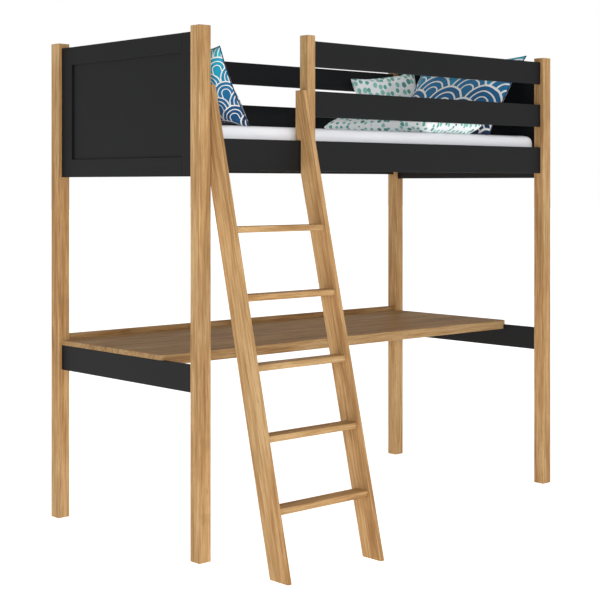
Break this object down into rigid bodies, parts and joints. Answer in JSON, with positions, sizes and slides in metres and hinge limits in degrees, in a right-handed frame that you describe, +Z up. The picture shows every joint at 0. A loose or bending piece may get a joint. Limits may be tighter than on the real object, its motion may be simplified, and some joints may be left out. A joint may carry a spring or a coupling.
{
  "type": "loft bed with desk",
  "caption": "Loft bed on square posts with a sloping ladder, guard rails, framed end panels, a slatted base with mattress and cushions, and a full-length desk underneath.",
  "frame": {"origin": "centre of the footprint, ladder feet included, on the floor", "axes": "+X along the bed from the head end to the foot end, +Y from the ladder side to the rear, +Z up"},
  "size_m": [2.08, 1.42, 2.0273],
  "materials": {
    "oak": "clear satin oil on oak with fine straight grain",
    "anthracite_lacquer": "satin anthracite lacquer on board",
    "pine": "planed, unfinished",
    "steel": "zinc plated",
    "mattress": "white woven cover",
    "wave_cushion": "cotton with scalloped waves, turquoise fading to navy",
    "dotted_pillow": "white cotton with teal dots"
  },
  "bodies": {
    "bed_frame": {"post_front_head": "oak", "post_rear_head": "oak", "post_front_foot": "oak", "post_rear_foot": "oak", "guard_post": "oak", "head_panel_stile_front": "anthracite_lacquer", "head_panel_stile_rear": "anthracite_lacquer", "head_panel_rail_bottom": "anthracite_lacquer", "head_panel_rail_top": "anthracite_lacquer", "head_panel_field": "anthracite_lacquer", "foot_panel_stile_front": "anthracite_lacquer", "foot_panel_stile_rear": "anthracite_lacquer", "foot_panel_rail_bottom": "anthracite_lacquer", "foot_panel_rail_top": "anthracite_lacquer", "foot_panel_field": "anthracite_lacquer", "side_rail_front": "anthracite_lacquer", "side_rail_rear": "anthracite_lacquer", "guard_front_lower": "anthracite_lacquer", "guard_front_upper": "anthracite_lacquer", "guard_rear_lower": "anthracite_lacquer", "guard_rear_upper": "anthracite_lacquer", "ladder_stringer_left": "oak", "ladder_stringer_right": "oak", "ladder_tread_1": "oak", "ladder_tread_2": "oak", "ladder_tread_3": "oak", "ladder_tread_4": "oak", "ladder_tread_5": "oak", "desk_slab": "oak", "desk_lip": "oak", "desk_upstand": "oak", "desk_rail_head": "anthracite_lacquer", "desk_rail_foot": "anthracite_lacquer", "ledger_front": "pine", "ledger_rear": "pine", "slat_01": "pine", "slat_02": "pine", "slat_03": "pine", "slat_04": "pine", "slat_05": "pine", "slat_06": "pine", "slat_07": "pine", "slat_08": "pine", "slat_09": "pine", "slat_10": "pine", "slat_11": "pine", "slat_12": "pine", "side_rail_bolt_front_head": "steel", "side_rail_bolt_front_foot": "steel", "side_rail_bolt_rear_head": "steel", "side_rail_bolt_rear_foot": "steel", "guard_post_bolt_lower": "steel", "guard_post_bolt_upper": "steel", "ladder_screw_left": "steel", "ladder_screw_right": "steel"},
    "mattress": {"mattress": "mattress"},
    "head_cushion": {"cushion_head": "wave_cushion"},
    "foot_cushion": {"cushion_foot": "wave_cushion"},
    "flat_pillow": {"pillow_flat": "dotted_pillow"},
    "rear_pillow": {"pillow_rear": "dotted_pillow"}
  },
  "joints": [
    {"name": "mattress_lift", "type": "slide", "parent": "bed_frame", "child": "mattress", "axis": [0, 0, 1], "range_m": [0, 0.55]},
    {"name": "head_cushion_lift", "type": "slide", "parent": "mattress", "child": "head_cushion", "axis": [0, 0, 1], "range_m": [0, 0.4]},
    {"name": "foot_cushion_lift", "type": "slide", "parent": "mattress", "child": "foot_cushion", "axis": [0, 0, 1], "range_m": [0, 0.4]},
    {"name": "flat_pillow_lift", "type": "slide", "parent": "mattress", "child": "flat_pillow", "axis": [0, 0, 1], "range_m": [0, 0.4]},
    {"name": "rear_pillow_lift", "type": "slide", "parent": "mattress", "child": "rear_pillow", "axis": [0, 0, 1], "range_m": [0, 0.4]}
  ]
}
